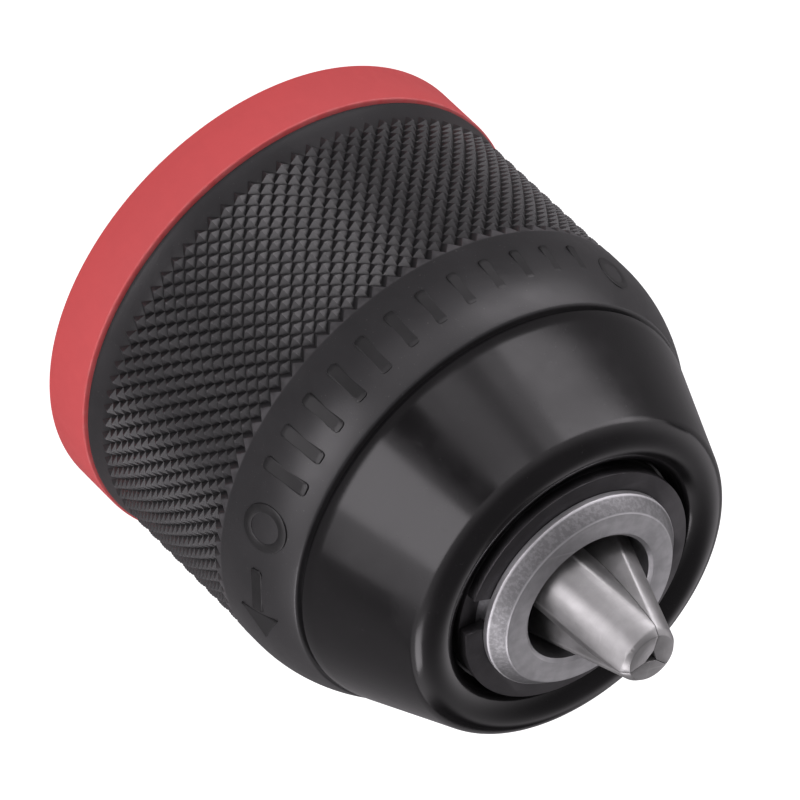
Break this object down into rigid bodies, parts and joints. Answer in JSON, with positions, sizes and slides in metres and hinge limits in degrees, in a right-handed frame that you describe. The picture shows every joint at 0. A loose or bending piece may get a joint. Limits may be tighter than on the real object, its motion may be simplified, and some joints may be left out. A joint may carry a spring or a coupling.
{
  "type": "keyless drill chuck",
  "caption": "Hand-tightened drill chuck with a knurled black grip sleeve, glossy nose, red rear ring, ratchet lock and steel jaws that slide at an angle and close on the axis.",
  "frame": {"origin": "centre of the rear face, where the spindle enters; the rear ring and the steel tail both end in this plane", "axes": "+Z along the spindle axis towards the jaw tips; +Y towards the first jaw; +X completes a right-handed frame"},
  "size_m": [0.042, 0.042, 0.0519],
  "materials": {
    "body_steel": "fine turned satin steel",
    "jaw_steel": "bright ground steel",
    "nut_steel": "hardened grey steel",
    "race_steel": "ground hardened steel",
    "cage_brass": "stamped sheet brass",
    "ball_steel": "polished bearing steel",
    "spring_steel": "tempered spring steel",
    "pressed_steel": "zinc-plated pressed sheet",
    "black_steel": "black oxide, matt",
    "grip_black": "satin black, fine diamond knurl",
    "gloss_black": "glossy black",
    "ring_red": "matt red"
  },
  "bodies": {
    "chuck": {"chuck_body": "body_steel", "ratchet_race": "race_steel", "rear_ring": "ring_red", "rear_cover": "pressed_steel", "tail_clip": "spring_steel", "nose_washer": "black_steel", "snap_ring": "black_steel"},
    "nut": {"nut_half_a": "nut_steel", "nut_half_b": "nut_steel", "nut_band": "nut_steel", "thrust_race": "race_steel", "lock_spring": "spring_steel"},
    "sleeve": {"drive_liner": "pressed_steel", "grip_sleeve": "grip_black", "nose_shell": "gloss_black"},
    "cage": {"ball_cage": "cage_brass", "bearing_balls": "ball_steel"},
    "jaw_1": {"jaw_1": "jaw_steel"},
    "jaw_2": {"jaw_2": "jaw_steel"},
    "jaw_3": {"jaw_3": "jaw_steel"}
  },
  "joints": [
    {"name": "nut_turn", "type": "hinge", "parent": "chuck", "child": "nut", "pos_m": [0, 0, 0.025], "axis": [0, 0, 1], "range_deg": [0, 3420]},
    {"name": "sleeve_lock", "type": "hinge", "parent": "nut", "child": "sleeve", "pos_m": [0, 0, 0.025], "axis": [0, 0, 1], "range_deg": [-15, 0]},
    {"name": "cage_roll", "type": "hinge", "parent": "chuck", "child": "cage", "pos_m": [0, 0, 0.01875], "axis": [0, 0, 1], "range_deg": [0, 1710]},
    {"name": "jaw_1_slide", "type": "slide", "parent": "chuck", "child": "jaw_1", "axis": [0, 0.309, -0.9511], "range_m": [0, 0.0152]},
    {"name": "jaw_2_slide", "type": "slide", "parent": "chuck", "child": "jaw_2", "axis": [-0.2676, -0.1545, -0.9511], "range_m": [0, 0.0152]},
    {"name": "jaw_3_slide", "type": "slide", "parent": "chuck", "child": "jaw_3", "axis": [0.2676, -0.1545, -0.9511], "range_m": [0, 0.0152]}
  ],
  "couplings": [
    {"joint": "cage_roll", "follows": "nut_turn", "ratio": 0.5},
    {"joint": "jaw_1_slide", "follows": "nut_turn", "m_per_rad": 0.00025465},
    {"joint": "jaw_2_slide", "follows": "nut_turn", "m_per_rad": 0.00025465},
    {"joint": "jaw_3_slide", "follows": "nut_turn", "m_per_rad": 0.00025465}
  ]
}
